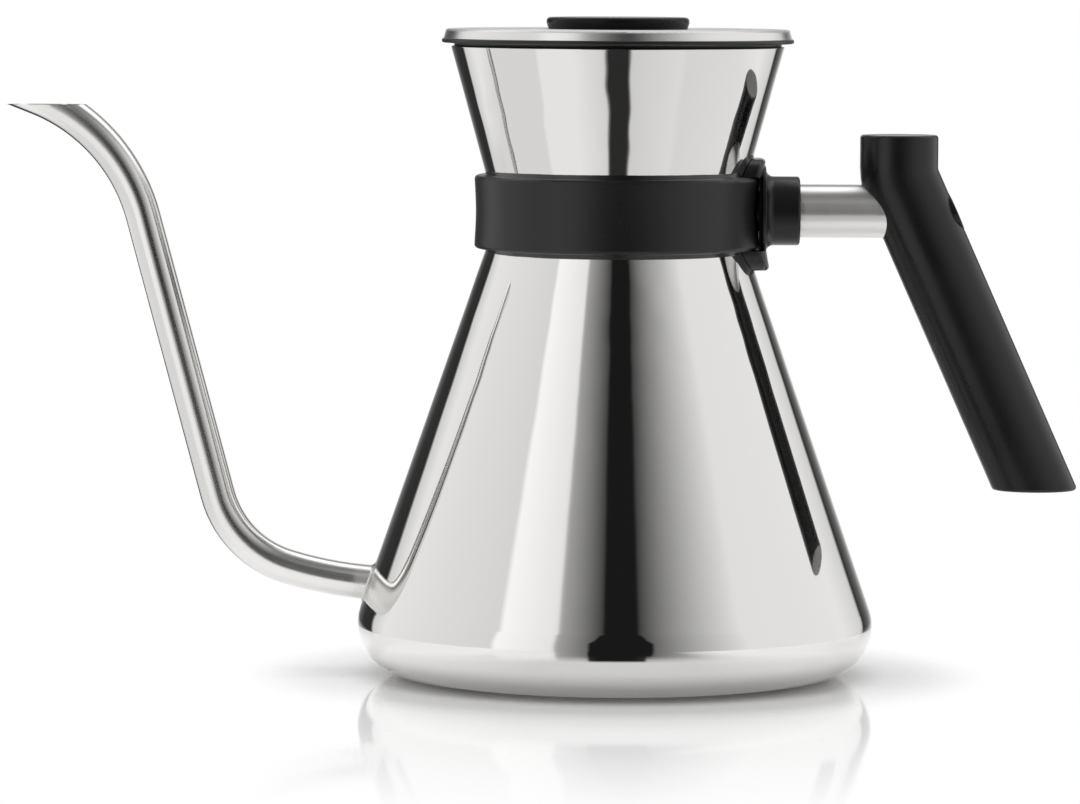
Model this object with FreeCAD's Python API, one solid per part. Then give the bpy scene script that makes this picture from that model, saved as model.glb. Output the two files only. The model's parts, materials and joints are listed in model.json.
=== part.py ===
"""Stovetop pouring kettle: an hourglass steel vessel with a gooseneck spout, a lift-off lid and a handle.

The origin is the centre of the face that the kettle stands on. +Z is up, the handle points along +X and the
spout along -X. All sizes are in millimetres and all angles in degrees.
"""
import FreeCAD, Part
import math
import os

from FreeCAD import Vector

# Vessel: a funnel neck above the waist, a cone below it, and a round heel that runs into a flat floor.
WALL = 0.8
RIM_RADIUS = 48.55
RIM_HEIGHT = 183.1
WAIST_RADIUS = 34.87
WAIST_HEIGHT = 133.75
WAIST_ROUNDING = 9.0
BODY_RADIUS = 75.0
HEEL_ROUNDING = 14.6

# Heat-spreading disc, bonded into a recess of the floor and standing a little proud of it.
DISC_MARGIN = 6.4
DISC_THICKNESS = 3.0
DISC_PROUD = 0.4
DISC_EDGE = 0.4
DISC_BOND_GAP = 0.3

# Gooseneck spout: a tube that sweeps out of the cone, turns up an elbow, leans out and crests to a level lip.
SPOUT_DIAMETER = 10.2
SPOUT_WALL = 0.8
SPOUT_ROOT_HEIGHT = 26.4
SPOUT_ROOT_SETBACK = 3.85
SPOUT_ROOT_RISE = 2.8
SPOUT_SWEEP_RADIUS = 113.6
SPOUT_SWEEP_TURN = 14.0
SPOUT_ELBOW_RADIUS = 30.3
SPOUT_LEAN = 15.0
SPOUT_CREST_RADIUS = 50.9
SPOUT_TIP_RISE = 28.0
SPOUT_LIP_TURN = 6.5
SPOUT_LIP_DROP = 0.5
SPOUT_TIP_HEIGHT = 165.5

# Handle line, which the bracket's boss, the stem and the bolt share, above the waist.
HANDLE_RISE = 1.8

# Collar band round the waist, with a hole where the bracket's post passes through it.
COLLAR_THICKNESS = 6.58
COLLAR_HEIGHT = 21.3
COLLAR_DROP = 0.5
COLLAR_HOLLOW = 0.6
COLLAR_EDGE = 1.2
COLLAR_FIT = 0.1

# Bracket: ears that hug neck and cone, a web between them, a post through the collar and a flared boss.
PAD_PROUD = 0.95
PAD_HOLLOW_RADIUS = 102.0
PAD_HOLLOW_RISE = 3.15
PAD_WIDTH = 27.0
PAD_DROP = 0.95
EAR_HEIGHT = 5.5
PAD_CORNER = 7.0
PAD_EDGE = 1.0
WEB_WIDTH = 14.0
WEB_CLEARANCE = 0.2
POST_WALL = 1.25
BOSS_WALL = 2.25
BOSS_REACH = 11.55
BOSS_EDGE = 0.8
FLARE_WIDTH = 3.2
FLARE_THICKNESS = 1.3
FLARE_CLEARANCE = 0.4
BRACKET_FIT = 0.1

# Threaded boss welded to the waist, and the bolt that pulls the whole handle against it.
WELD_BOSS_RADIUS = 4.5
WELD_BOSS_REACH = 5.0
BOLT_RADIUS = 2.5
BOLT_CLEARANCE = 0.25
THREAD_CLEARANCE = 0.05
THREAD_ENGAGEMENT = 4.0
BOLT_HEAD_RADIUS = 4.25
BOLT_HEAD_HEIGHT = 5.0
BOLT_HEAD_EDGE = 0.4
BOLT_KEY = 4.0
BOLT_KEY_DEPTH = 2.6
BOLT_WASHER_RADIUS = 5.0
BOLT_WASHER_THICKNESS = 1.0

# Stem tube between the bracket and the grip.
STEM_DIAMETER = 15.5
STEM_WALL = 1.2
STEM_LENGTH = 38.0
STEM_SEAT_DEPTH = 9.0
STEM_FIT = 0.05

# Grip: a round bar with an upright head and a leaning shank, cut level at both ends.
GRIP_DIAMETER = 22.7
GRIP_HEAD_RISE = 22.2
GRIP_BEND_RISE = 9.95
GRIP_BEND_INSIDE = 2.25
GRIP_LEAN = 24.0
GRIP_DROP = 80.95
GRIP_EDGE = 0.9
GRIP_WEB = 6.0
GRIP_STEM_OVERLAP = 0.2
COUNTERBORE_CLEARANCE = 0.6

# Cap pressed into the counterbore over the bolt's head.
PLUG_GAP = 0.3
PLUG_EDGE = 0.4

# Lid: a pressed plate with a flared rim over a soft seal that plugs the neck.
LID_WALL = 0.6
LID_GAP = 0.85
LID_RIM_DEPTH = 2.75
LID_OVERHANG = 2.0
LID_FLARE = 0.8
LID_BEND = 0.8
SEAL_BEAD = 1.3
SEAL_PROUD = 0.5
SEAL_SEAT_GAP = 0.35
PLUG_DEPTH = 8.0
SKIRT_WALL = 0.8
SKIRT_LIP = 1.0
SEAL_THICKNESS = 2.2

# Knob: a flat disc with a moulded-in bush, held from below by one screw and its washer.
KNOB_RADIUS = 20.7
KNOB_HEIGHT = 3.45
KNOB_TAPER = 0.6
KNOB_EDGE = 1.1
BUSH_RADIUS = 3.5
BUSH_LENGTH = 2.6
SCREW_RADIUS = 2.0
SCREW_CLEARANCE = 0.2
SCREW_HEAD_RADIUS = 3.6
SCREW_HEAD_HEIGHT = 2.2
SCREW_HEAD_EDGE = 0.8
SCREW_SLOT_WIDTH = 0.9
SCREW_SLOT_DEPTH = 1.0
SCREW_WASHER_RADIUS = 5.0
SCREW_WASHER_THICKNESS = 0.8

HANDLE_HEIGHT = WAIST_HEIGHT + HANDLE_RISE
UP = Vector(0, 0, 1)
OUTWARD = Vector(1, 0, 0)
ORIGIN = Vector(0, 0, 0)
HANDLE_LINE = Vector(0, 0, HANDLE_HEIGHT)


# Drawing helpers

def at(x, z):
    """A point in the kettle's middle plane."""
    return Vector(x, 0, z)


def heading(angle):
    """Unit direction in the middle plane, turned up from +X by an angle."""
    return at(math.cos(math.radians(angle)), math.sin(math.radians(angle)))


def line(start, end):
    return Part.LineSegment(start, end).toShape()


def arc(centre, radius, start_angle, end_angle):
    """Arc in the middle plane about a centre, between two directions."""
    middle_angle = (start_angle + end_angle) / 2
    points = [centre + heading(angle) * radius for angle in (start_angle, middle_angle, end_angle)]
    return Part.Arc(*points).toShape()


def outline(corners):
    """Edges of a closed outline through (x, z, rounding) corners in the middle plane."""
    points = [at(x, z) for x, z, rounding in corners]
    entries = []
    exits = []
    arcs = []
    for index, (x, z, rounding) in enumerate(corners):
        corner = points[index]
        back = (points[index - 1] - corner).normalize()
        ahead = (points[(index + 1) % len(points)] - corner).normalize()
        half_angle = back.getAngle(ahead) / 2
        entries.append(corner + back * (rounding / math.tan(half_angle)))
        exits.append(corner + ahead * (rounding / math.tan(half_angle)))
        if rounding:
            bulge = corner + (back + ahead).normalize() * (rounding / math.sin(half_angle) - rounding)
            arcs.append(Part.Arc(entries[index], bulge, exits[index]).toShape())
    sides = [line(exits[index - 1], entries[index]) for index in range(len(points))]
    return sides + arcs


def filled(edges):
    """Flat face inside edges that close on themselves."""
    return Part.Face(Part.Wire(Part.__sortEdges__(edges)))


def turned(edges):
    """Solid of revolution about the vessel's axis."""
    return filled(edges).revolve(ORIGIN, UP, 360)


def turned_on_handle(edges):
    """Solid of revolution about the handle line."""
    return filled(edges).revolve(HANDLE_LINE, OUTWARD, 360)


def ring(inner_radius, outer_radius, bottom, top):
    """Plain ring about the vessel's axis."""
    blank = Part.makeCylinder(outer_radius, top - bottom, at(0, bottom), UP)
    return blank.cut(Part.makeCylinder(inner_radius, top - bottom, at(0, bottom), UP))


def rod(radius, start, end):
    """Round bar on the handle line from one distance out to another."""
    return Part.makeCylinder(radius, end - start, at(start, HANDLE_HEIGHT), OUTWARD)


def block(x_range, y_range, z_range):
    low = Vector(x_range[0], y_range[0], z_range[0])
    size = Vector(x_range[1], y_range[1], z_range[1]) - low
    return Part.makeBox(size.x, size.y, size.z, low)


class Route:
    """Centre line in the middle plane, drawn as runs and bends that follow on smoothly."""

    def __init__(self, start, way):
        self.start = start
        self.start_way = way
        self.point = start
        self.way = way
        self.edges = []

    def run(self, length):
        """Go straight on."""
        end = self.point + heading(self.way) * length
        self.edges.append(line(self.point, end))
        self.point = end

    def bend(self, radius, way):
        """Turn until a new way is reached."""
        side = 90 if way > self.way else -90
        centre = self.point + heading(self.way + side) * radius
        self.edges.append(arc(centre, radius, self.way - side, way - side))
        self.point = centre + heading(way - side) * radius
        self.way = way

    def bar(self, radius):
        """Round bar along the whole line."""
        section = Part.Wire(Part.makeCircle(radius, self.start, heading(self.start_way)))
        return Part.Wire(self.edges).makePipeShell([section], True, True)


def hexagon(across_flats, direction, centre, length):
    """Hexagonal bar from a centre along a direction that lies in the middle plane."""
    side = Vector(0, 1, 0)
    rise = direction.cross(side)
    corner_radius = across_flats / math.sqrt(3)
    corners = []
    for index in range(7):
        angle = math.radians(60 * index)
        corners.append(centre + (side * math.cos(angle) + rise * math.sin(angle)) * corner_radius)
    return Part.Face(Part.makePolygon(corners)).extrude(direction * length)


# Vessel wall, worked out from its outer face. An inset moves the line inwards and a negative one outwards.

NECK_TILT = math.degrees(math.atan2(RIM_RADIUS - WAIST_RADIUS, RIM_HEIGHT - WAIST_HEIGHT))
HEEL_CENTRE = at(BODY_RADIUS - HEEL_ROUNDING, DISC_PROUD + HEEL_ROUNDING)
DISC_RADIUS = HEEL_CENTRE.x - DISC_MARGIN
WAIST = at(WAIST_RADIUS, WAIST_HEIGHT)
WAIST_TO_HEEL = HEEL_CENTRE - WAIST
CONE_TILT = math.degrees(
    math.atan2(WAIST_TO_HEEL.x, -WAIST_TO_HEEL.z) + math.asin(HEEL_ROUNDING / WAIST_TO_HEEL.Length)
)
NECK_INWARD = 180 - NECK_TILT
CONE_INWARD = 180 + CONE_TILT
WAIST_CENTRE = WAIST - (heading(NECK_INWARD) + heading(CONE_INWARD)) * (
    WAIST_ROUNDING / (1 + math.cos(math.radians(CONE_INWARD - NECK_INWARD)))
)
NECK_SLOPE = math.tan(math.radians(NECK_TILT))
CONE_SLOPE = math.tan(math.radians(CONE_TILT))


def neck_radius(height, inset):
    """Radius of the neck's straight wall at a height."""
    return WAIST_RADIUS + (height - WAIST_HEIGHT) * NECK_SLOPE - inset / math.cos(math.radians(NECK_TILT))


def cone_radius(height, inset):
    """Radius of the cone's straight wall at a height."""
    return WAIST_RADIUS + (WAIST_HEIGHT - height) * CONE_SLOPE - inset / math.cos(math.radians(CONE_TILT))


def waist_point(inward_angle, inset):
    return WAIST_CENTRE + heading(inward_angle) * (WAIST_ROUNDING + inset)


def wall_line(inset, top):
    """Edges of the wall from a height on the neck down to the seam at the widest part of the heel."""
    cone_end = HEEL_CENTRE - heading(CONE_INWARD) * (HEEL_ROUNDING - inset)
    return [
        line(at(neck_radius(top, inset), top), waist_point(NECK_INWARD, inset)),
        arc(WAIST_CENTRE, WAIST_ROUNDING + inset, NECK_INWARD, CONE_INWARD),
        line(waist_point(CONE_INWARD, inset), cone_end),
        arc(HEEL_CENTRE, HEEL_ROUNDING - inset, CONE_TILT, 0),
    ]


def vessel_envelope(inset):
    """Solid inside one face of the vessel, used to shape what fits against it."""
    heel_radius = HEEL_ROUNDING - inset
    floor = HEEL_CENTRE.z - heel_radius
    return turned(
        wall_line(inset, RIM_HEIGHT)
        + [
            arc(HEEL_CENTRE, heel_radius, 0, -90),
            line(at(HEEL_CENTRE.x, floor), at(0, floor)),
            line(at(0, floor), at(0, RIM_HEIGHT)),
            line(at(0, RIM_HEIGHT), at(neck_radius(RIM_HEIGHT, inset), RIM_HEIGHT)),
        ]
    )


# Spout line: tangent runs and bends, followed from the wall outwards.

SPOUT_RADIUS = SPOUT_DIAMETER / 2
SPOUT_ROOT = at(SPOUT_ROOT_SETBACK - cone_radius(SPOUT_ROOT_HEIGHT, 0), SPOUT_ROOT_HEIGHT)
SPOUT_ROOT_WAY = 180 - SPOUT_ROOT_RISE
SPOUT_UP_WAY = 90 + SPOUT_LEAN
SPOUT_TIP_WAY = 180 - SPOUT_TIP_RISE


def spout_bar(radius):
    """Round bar along the spout's centre line, from inside the vessel to beyond the level cut of its lip."""
    start = SPOUT_ROOT - heading(SPOUT_ROOT_WAY) * SPOUT_DIAMETER
    route = Route(start, SPOUT_ROOT_WAY)
    route.run(SPOUT_DIAMETER)
    route.bend(SPOUT_SWEEP_RADIUS, SPOUT_ROOT_WAY - SPOUT_SWEEP_TURN)
    route.bend(SPOUT_ELBOW_RADIUS, SPOUT_UP_WAY)
    crest_rise = SPOUT_CREST_RADIUS * (heading(SPOUT_UP_WAY).x - heading(SPOUT_TIP_WAY).x)
    crest_start = SPOUT_TIP_HEIGHT - SPOUT_LIP_DROP - crest_rise
    route.run((crest_start - route.point.z) / heading(SPOUT_UP_WAY).z)
    route.bend(SPOUT_CREST_RADIUS, SPOUT_TIP_WAY + SPOUT_LIP_TURN)
    route.run(SPOUT_DIAMETER * 2)
    return route.bar(radius)


# Vessel pieces

def body_shell():
    """Neck, waist and cone in one spun wall with a rounded rim and a hole behind the spout."""
    rim_edge = RIM_HEIGHT - WALL / 2
    outer_rim = at(neck_radius(rim_edge, 0), rim_edge)
    inner_rim = at(neck_radius(rim_edge, WALL), rim_edge)
    rim_crown = at((outer_rim.x + inner_rim.x) / 2, RIM_HEIGHT)
    seam = HEEL_CENTRE + OUTWARD * HEEL_ROUNDING
    shell = turned(
        wall_line(0, rim_edge)
        + wall_line(WALL, rim_edge)
        + [line(seam, seam - OUTWARD * WALL), Part.Arc(outer_rim, rim_crown, inner_rim).toShape()]
    )
    return shell.cut(spout_bar(SPOUT_RADIUS - SPOUT_WALL))


def base_pan():
    """Pressed bottom: the lower half of the heel and a floor with a recess for the disc."""
    seam = HEEL_CENTRE + OUTWARD * HEEL_ROUNDING
    recess_radius = DISC_RADIUS + DISC_BOND_GAP
    recess_roof = DISC_THICKNESS
    foot = DISC_PROUD
    return turned([
        arc(HEEL_CENTRE, HEEL_ROUNDING, 0, -90),
        line(at(HEEL_CENTRE.x, foot), at(recess_radius, foot)),
        line(at(recess_radius, foot), at(recess_radius, recess_roof)),
        line(at(recess_radius, recess_roof), at(0, recess_roof)),
        line(at(0, recess_roof), at(0, recess_roof + WALL)),
        line(at(0, recess_roof + WALL), at(recess_radius + WALL, recess_roof + WALL)),
        line(at(recess_radius + WALL, recess_roof + WALL), at(recess_radius + WALL, foot + WALL)),
        line(at(recess_radius + WALL, foot + WALL), at(HEEL_CENTRE.x, foot + WALL)),
        arc(HEEL_CENTRE, HEEL_ROUNDING - WALL, -90, 0),
        line(seam - OUTWARD * WALL, seam),
    ])


def base_disc():
    return turned(outline([
        (0, 0, 0),
        (DISC_RADIUS, 0, DISC_EDGE),
        (DISC_RADIUS, DISC_THICKNESS, 0),
        (0, DISC_THICKNESS, 0),
    ]))


def spout_tube():
    """Open tube, trimmed to the cone at its root and level at its lip."""
    tube = spout_bar(SPOUT_RADIUS).cut(spout_bar(SPOUT_RADIUS - SPOUT_WALL))
    reach = BODY_RADIUS + SPOUT_TIP_HEIGHT * 2
    above_lip = block((-reach, 0), (-BODY_RADIUS, BODY_RADIUS), (SPOUT_TIP_HEIGHT, SPOUT_TIP_HEIGHT * 2))
    return tube.cut(above_lip).cut(vessel_envelope(0))


# Handle pieces, from the waist outwards

WAIST_FACE = WAIST_CENTRE.x - WAIST_ROUNDING
COLLAR_RADIUS = WAIST_RADIUS + COLLAR_THICKNESS
PAD_HEIGHT = COLLAR_HEIGHT + EAR_HEIGHT * 2
POST_RADIUS = WELD_BOSS_RADIUS + BOLT_CLEARANCE + POST_WALL
BOSS_RADIUS = STEM_DIAMETER / 2 + BOSS_WALL
FLARE_RADIUS = BOSS_RADIUS + FLARE_WIDTH
BOSS_ROOT = COLLAR_RADIUS + FLARE_CLEARANCE
BOSS_END = COLLAR_RADIUS + BOSS_REACH
STEM_START = BOSS_END - STEM_SEAT_DEPTH
STEM_END = STEM_START + STEM_LENGTH
WELD_BOSS_END = WAIST_FACE + WELD_BOSS_REACH
WASHER_SEAT = STEM_END + GRIP_WEB
BOLT_HEAD_SEAT = WASHER_SEAT + BOLT_WASHER_THICKNESS
BOLT_HEAD_END = BOLT_HEAD_SEAT + BOLT_HEAD_HEIGHT
COUNTERBORE_RADIUS = BOLT_WASHER_RADIUS + COUNTERBORE_CLEARANCE
BOLT_TIP = WELD_BOSS_END - THREAD_ENGAGEMENT
COLLAR_MIDDLE = HANDLE_HEIGHT - COLLAR_DROP
COLLAR_BOTTOM = COLLAR_MIDDLE - COLLAR_HEIGHT / 2
COLLAR_TOP = COLLAR_MIDDLE + COLLAR_HEIGHT / 2
GRIP_HEAD_LINE = STEM_END - GRIP_STEM_OVERLAP
GRIP_BEND = at(GRIP_HEAD_LINE, HANDLE_HEIGHT + GRIP_BEND_RISE)
GRIP_TOP = HANDLE_HEIGHT + GRIP_HEAD_RISE
GRIP_BOTTOM = HANDLE_HEIGHT - GRIP_DROP


def weld_boss():
    """Threaded boss on the waist that takes the handle bolt."""
    boss = rod(WELD_BOSS_RADIUS, 0, WELD_BOSS_END)
    thread = rod(BOLT_RADIUS + THREAD_CLEARANCE, BOLT_TIP, WELD_BOSS_END)
    return boss.cut(thread).cut(vessel_envelope(0))


def collar_band():
    """Soft band that fills the waist, slightly hollow on its face, with a hole for the bracket's post."""
    hollow_rounding = COLLAR_HEIGHT * 4
    blank = turned(outline([
        (0, COLLAR_BOTTOM, 0),
        (COLLAR_RADIUS, COLLAR_BOTTOM, COLLAR_EDGE),
        (COLLAR_RADIUS - COLLAR_HOLLOW, COLLAR_MIDDLE, hollow_rounding),
        (COLLAR_RADIUS, COLLAR_TOP, COLLAR_EDGE),
        (0, COLLAR_TOP, 0),
    ]))
    return blank.cut(rod(POST_RADIUS + COLLAR_FIT, 0, BODY_RADIUS)).cut(vessel_envelope(0))


def bracket_pad():
    """Rounded plate round the waist, hollow like it and thickest at its foot, with softened outer edges."""
    middle = HANDLE_HEIGHT - PAD_DROP
    sketch = outline([
        (PAD_WIDTH / 2, middle - PAD_HEIGHT / 2, PAD_CORNER),
        (PAD_WIDTH / 2, middle + PAD_HEIGHT / 2, PAD_CORNER),
        (-PAD_WIDTH / 2, middle + PAD_HEIGHT / 2, PAD_CORNER),
        (-PAD_WIDTH / 2, middle - PAD_HEIGHT / 2, PAD_CORNER),
    ])
    blank = filled(sketch).extrude(Vector(0, BODY_RADIUS, 0))
    blank.rotate(ORIGIN, UP, -90)
    hollow_centre = at(COLLAR_RADIUS + PAD_PROUD + PAD_HOLLOW_RADIUS, HANDLE_HEIGHT + PAD_HOLLOW_RISE)
    spread = math.degrees(math.asin(PAD_HEIGHT / PAD_HOLLOW_RADIUS))
    low_rim = hollow_centre + heading(180 + spread) * PAD_HOLLOW_RADIUS
    high_rim = hollow_centre + heading(180 - spread) * PAD_HOLLOW_RADIUS
    drum = turned([
        arc(hollow_centre, PAD_HOLLOW_RADIUS, 180 + spread, 180 - spread),
        line(high_rim, at(0, high_rim.z)),
        line(at(0, high_rim.z), at(0, low_rim.z)),
        line(at(0, low_rim.z), low_rim),
    ])
    drum.rotate(ORIGIN, UP, 180)
    plate = blank.common(drum)
    outer_face = max(plate.Faces, key=lambda face: face.CenterOfMass.x)
    return plate.makeFillet(PAD_EDGE, outer_face.Edges)


def bracket_boss():
    """Socket boss with a flared root that stands just clear of the collar."""
    lip = BOSS_ROOT + FLARE_THICKNESS
    lip_edge = FLARE_THICKNESS / 3
    flare_rounding = FLARE_RADIUS - BOSS_RADIUS - lip_edge * 2
    return turned_on_handle(outline([
        (BOSS_ROOT, HANDLE_HEIGHT, 0),
        (BOSS_ROOT, HANDLE_HEIGHT + FLARE_RADIUS, lip_edge),
        (lip, HANDLE_HEIGHT + FLARE_RADIUS, lip_edge),
        (lip, HANDLE_HEIGHT + BOSS_RADIUS, flare_rounding),
        (BOSS_END, HANDLE_HEIGHT + BOSS_RADIUS, BOSS_EDGE),
        (BOSS_END, HANDLE_HEIGHT, 0),
    ]))


def handle_bracket():
    """Moulded bracket: ears, web, post and boss in one piece, hollowed for the weld boss, bolt and stem."""
    collar_foot = at(0, COLLAR_BOTTOM - COLLAR_FIT)
    collar_room = COLLAR_HEIGHT + COLLAR_FIT * 2
    web = block((0, BODY_RADIUS), (-WEB_WIDTH / 2, WEB_WIDTH / 2), (0, RIM_HEIGHT))
    beside_web = Part.makeCylinder(BODY_RADIUS, collar_room, collar_foot, UP).cut(web)
    behind_web = Part.makeCylinder(COLLAR_RADIUS + WEB_CLEARANCE, collar_room, collar_foot, UP)
    post = rod(POST_RADIUS, 0, BOSS_ROOT + FLARE_THICKNESS)
    bracket = bracket_pad().cut(beside_web).cut(behind_web).fuse(bracket_boss()).fuse(post)
    bracket = bracket.cut(vessel_envelope(-BRACKET_FIT))
    bracket = bracket.cut(rod(WELD_BOSS_RADIUS + BOLT_CLEARANCE, 0, WELD_BOSS_END))
    bracket = bracket.cut(rod(BOLT_RADIUS + BOLT_CLEARANCE, 0, BOSS_END))
    return bracket.cut(rod(STEM_DIAMETER / 2 + STEM_FIT, STEM_START, BOSS_END))


def stem_tube():
    tube = rod(STEM_DIAMETER / 2, STEM_START, STEM_END)
    return tube.cut(rod(STEM_DIAMETER / 2 - STEM_WALL, STEM_START, STEM_END))


def grip():
    """Bent round bar, cut level at both ends, with a socket for the stem and a counterbore for the bolt."""
    spare = GRIP_DIAMETER
    bend_radius = GRIP_DIAMETER / 2 + GRIP_BEND_INSIDE
    tangent = bend_radius * math.tan(math.radians(GRIP_LEAN) / 2)
    route = Route(at(GRIP_HEAD_LINE, GRIP_TOP + spare), -90)
    route.run(GRIP_HEAD_RISE + spare - GRIP_BEND_RISE - tangent)
    route.bend(bend_radius, GRIP_LEAN - 90)
    route.run((GRIP_BEND_RISE + GRIP_DROP) / math.cos(math.radians(GRIP_LEAN)) + spare)
    bar = route.bar(GRIP_DIAMETER / 2)
    reach = bar.BoundBox.XMax + spare
    level = block((0, reach), (-spare, spare), (GRIP_BOTTOM, GRIP_TOP))
    bar = bar.common(level)
    ends = [face for face in bar.Faces if face.BoundBox.ZLength < GRIP_EDGE / 10]
    bar = bar.makeFillet(GRIP_EDGE, [edge for face in ends for edge in face.Edges])
    bar = bar.cut(rod(STEM_DIAMETER / 2 + STEM_FIT, 0, STEM_END))
    bar = bar.cut(rod(BOLT_RADIUS + BOLT_CLEARANCE, STEM_END, WASHER_SEAT))
    return bar.cut(rod(COUNTERBORE_RADIUS, WASHER_SEAT, reach))


def grip_plug():
    """Cap over the bolt's head, cut flat along the back of the grip's shank."""
    blank = rod(COUNTERBORE_RADIUS, BOLT_HEAD_END + PLUG_GAP, BOLT_HEAD_END + GRIP_DIAMETER)
    grip_back = GRIP_BEND + heading(GRIP_LEAN) * (GRIP_DIAMETER / 2)
    beyond_back = Part.makeCylinder(GRIP_DROP, GRIP_DROP, grip_back, heading(GRIP_LEAN))
    plug = blank.cut(beyond_back)
    flat = max(plug.Faces, key=lambda face: face.CenterOfMass.x)
    return plug.makeFillet(PLUG_EDGE, flat.Edges)


def bolt_washer():
    blank = rod(BOLT_WASHER_RADIUS, WASHER_SEAT, BOLT_HEAD_SEAT)
    return blank.cut(rod(BOLT_RADIUS + BOLT_CLEARANCE, WASHER_SEAT, BOLT_HEAD_SEAT))


def handle_bolt():
    """Long socket-head bolt through the grip, the stem and the bracket into the weld boss."""
    bolt = turned_on_handle(outline([
        (BOLT_TIP, HANDLE_HEIGHT, 0),
        (BOLT_TIP, HANDLE_HEIGHT + BOLT_RADIUS, BOLT_HEAD_EDGE),
        (BOLT_HEAD_SEAT, HANDLE_HEIGHT + BOLT_RADIUS, 0),
        (BOLT_HEAD_SEAT, HANDLE_HEIGHT + BOLT_HEAD_RADIUS, 0),
        (BOLT_HEAD_END, HANDLE_HEIGHT + BOLT_HEAD_RADIUS, BOLT_HEAD_EDGE),
        (BOLT_HEAD_END, HANDLE_HEIGHT, 0),
    ]))
    key_floor = at(BOLT_HEAD_END - BOLT_KEY_DEPTH, HANDLE_HEIGHT)
    return bolt.cut(hexagon(BOLT_KEY, OUTWARD, key_floor, BOLT_KEY_DEPTH * 2))


# Lid pieces, from the rim of the neck upwards

SEAL_BOTTOM = RIM_HEIGHT + LID_GAP
LID_RIM_BOTTOM = SEAL_BOTTOM + SEAL_BEAD
LID_TOP = LID_RIM_BOTTOM + LID_RIM_DEPTH
LID_UNDERSIDE = LID_TOP - LID_WALL
LID_RIM_RADIUS = RIM_RADIUS + LID_OVERHANG
LID_CROWN_RADIUS = LID_RIM_RADIUS - LID_FLARE
PLUG_BOTTOM = RIM_HEIGHT - PLUG_DEPTH
SKIRT_RADIUS = neck_radius(PLUG_BOTTOM, WALL + SEAL_SEAT_GAP) - SEAL_THICKNESS
SCREW_SEAT = LID_UNDERSIDE - SCREW_WASHER_THICKNESS


def lid_plate():
    """Pressed disc with a small bend and a flared rim, pierced for the knob's screw."""
    hole = SCREW_RADIUS + SCREW_CLEARANCE
    return turned(outline([
        (hole, LID_UNDERSIDE, 0),
        (LID_CROWN_RADIUS - LID_WALL, LID_UNDERSIDE, LID_BEND - LID_WALL),
        (LID_RIM_RADIUS - LID_WALL, LID_RIM_BOTTOM, 0),
        (LID_RIM_RADIUS, LID_RIM_BOTTOM, 0),
        (LID_CROWN_RADIUS, LID_TOP, LID_BEND),
        (hole, LID_TOP, 0),
    ]))


def lid_skirt():
    """Steel ring under the plate with an outward lip that keeps the seal on."""
    lip_bottom = PLUG_BOTTOM - SKIRT_WALL
    return turned(outline([
        (SKIRT_RADIUS - SKIRT_WALL, lip_bottom, 0),
        (SKIRT_RADIUS + SKIRT_LIP, lip_bottom, 0),
        (SKIRT_RADIUS + SKIRT_LIP, PLUG_BOTTOM, 0),
        (SKIRT_RADIUS, PLUG_BOTTOM, 0),
        (SKIRT_RADIUS, LID_UNDERSIDE, 0),
        (SKIRT_RADIUS - SKIRT_WALL, LID_UNDERSIDE, 0),
    ]))


def lid_seal():
    """Soft ring: a plug that follows the neck's inner wall and a bead that shows under the rim."""
    bead_radius = LID_RIM_RADIUS + SEAL_PROUD
    bead_edge = SEAL_BEAD * 0.45
    plug_inset = WALL + SEAL_SEAT_GAP
    plug_shoulder = SEAL_BOTTOM - SEAL_SEAT_GAP
    return turned(outline([
        (SKIRT_RADIUS, PLUG_BOTTOM, 0),
        (neck_radius(PLUG_BOTTOM, plug_inset), PLUG_BOTTOM, bead_edge),
        (neck_radius(plug_shoulder, plug_inset), plug_shoulder, 0),
        (neck_radius(plug_shoulder, plug_inset), SEAL_BOTTOM, 0),
        (bead_radius, SEAL_BOTTOM, bead_edge),
        (bead_radius, LID_RIM_BOTTOM, bead_edge),
        (LID_RIM_RADIUS - LID_WALL, LID_RIM_BOTTOM, 0),
        (LID_CROWN_RADIUS - LID_BEND - LID_WALL, LID_UNDERSIDE, 0),
        (SKIRT_RADIUS, LID_UNDERSIDE, 0),
    ]))


def lid_knob():
    """Flat disc knob, a little narrower at the foot, with a pocket for its bush."""
    knob_top = LID_TOP + KNOB_HEIGHT
    blank = turned(outline([
        (0, LID_TOP, 0),
        (KNOB_RADIUS - KNOB_TAPER, LID_TOP, 0),
        (KNOB_RADIUS, LID_TOP + KNOB_HEIGHT / 2, KNOB_EDGE),
        (KNOB_RADIUS, knob_top, KNOB_EDGE),
        (0, knob_top, 0),
    ]))
    return blank.cut(Part.makeCylinder(BUSH_RADIUS, BUSH_LENGTH, at(0, LID_TOP), UP))


def knob_bush():
    return ring(SCREW_RADIUS + THREAD_CLEARANCE, BUSH_RADIUS, LID_TOP, LID_TOP + BUSH_LENGTH)


def knob_washer():
    return ring(SCREW_RADIUS + SCREW_CLEARANCE, SCREW_WASHER_RADIUS, SCREW_SEAT, LID_UNDERSIDE)


def knob_screw():
    """Slotted screw that comes up through the lid into the bush."""
    head_bottom = SCREW_SEAT - SCREW_HEAD_HEIGHT
    screw = turned(outline([
        (0, head_bottom, 0),
        (SCREW_HEAD_RADIUS, head_bottom, SCREW_HEAD_EDGE),
        (SCREW_HEAD_RADIUS, SCREW_SEAT, 0),
        (SCREW_RADIUS, SCREW_SEAT, 0),
        (SCREW_RADIUS, LID_TOP + BUSH_LENGTH, 0),
        (0, LID_TOP + BUSH_LENGTH, 0),
    ]))
    slot = block(
        (-SCREW_HEAD_RADIUS, SCREW_HEAD_RADIUS),
        (-SCREW_SLOT_WIDTH / 2, SCREW_SLOT_WIDTH / 2),
        (head_bottom, head_bottom + SCREW_SLOT_DEPTH),
    )
    return screw.cut(slot)


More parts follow.
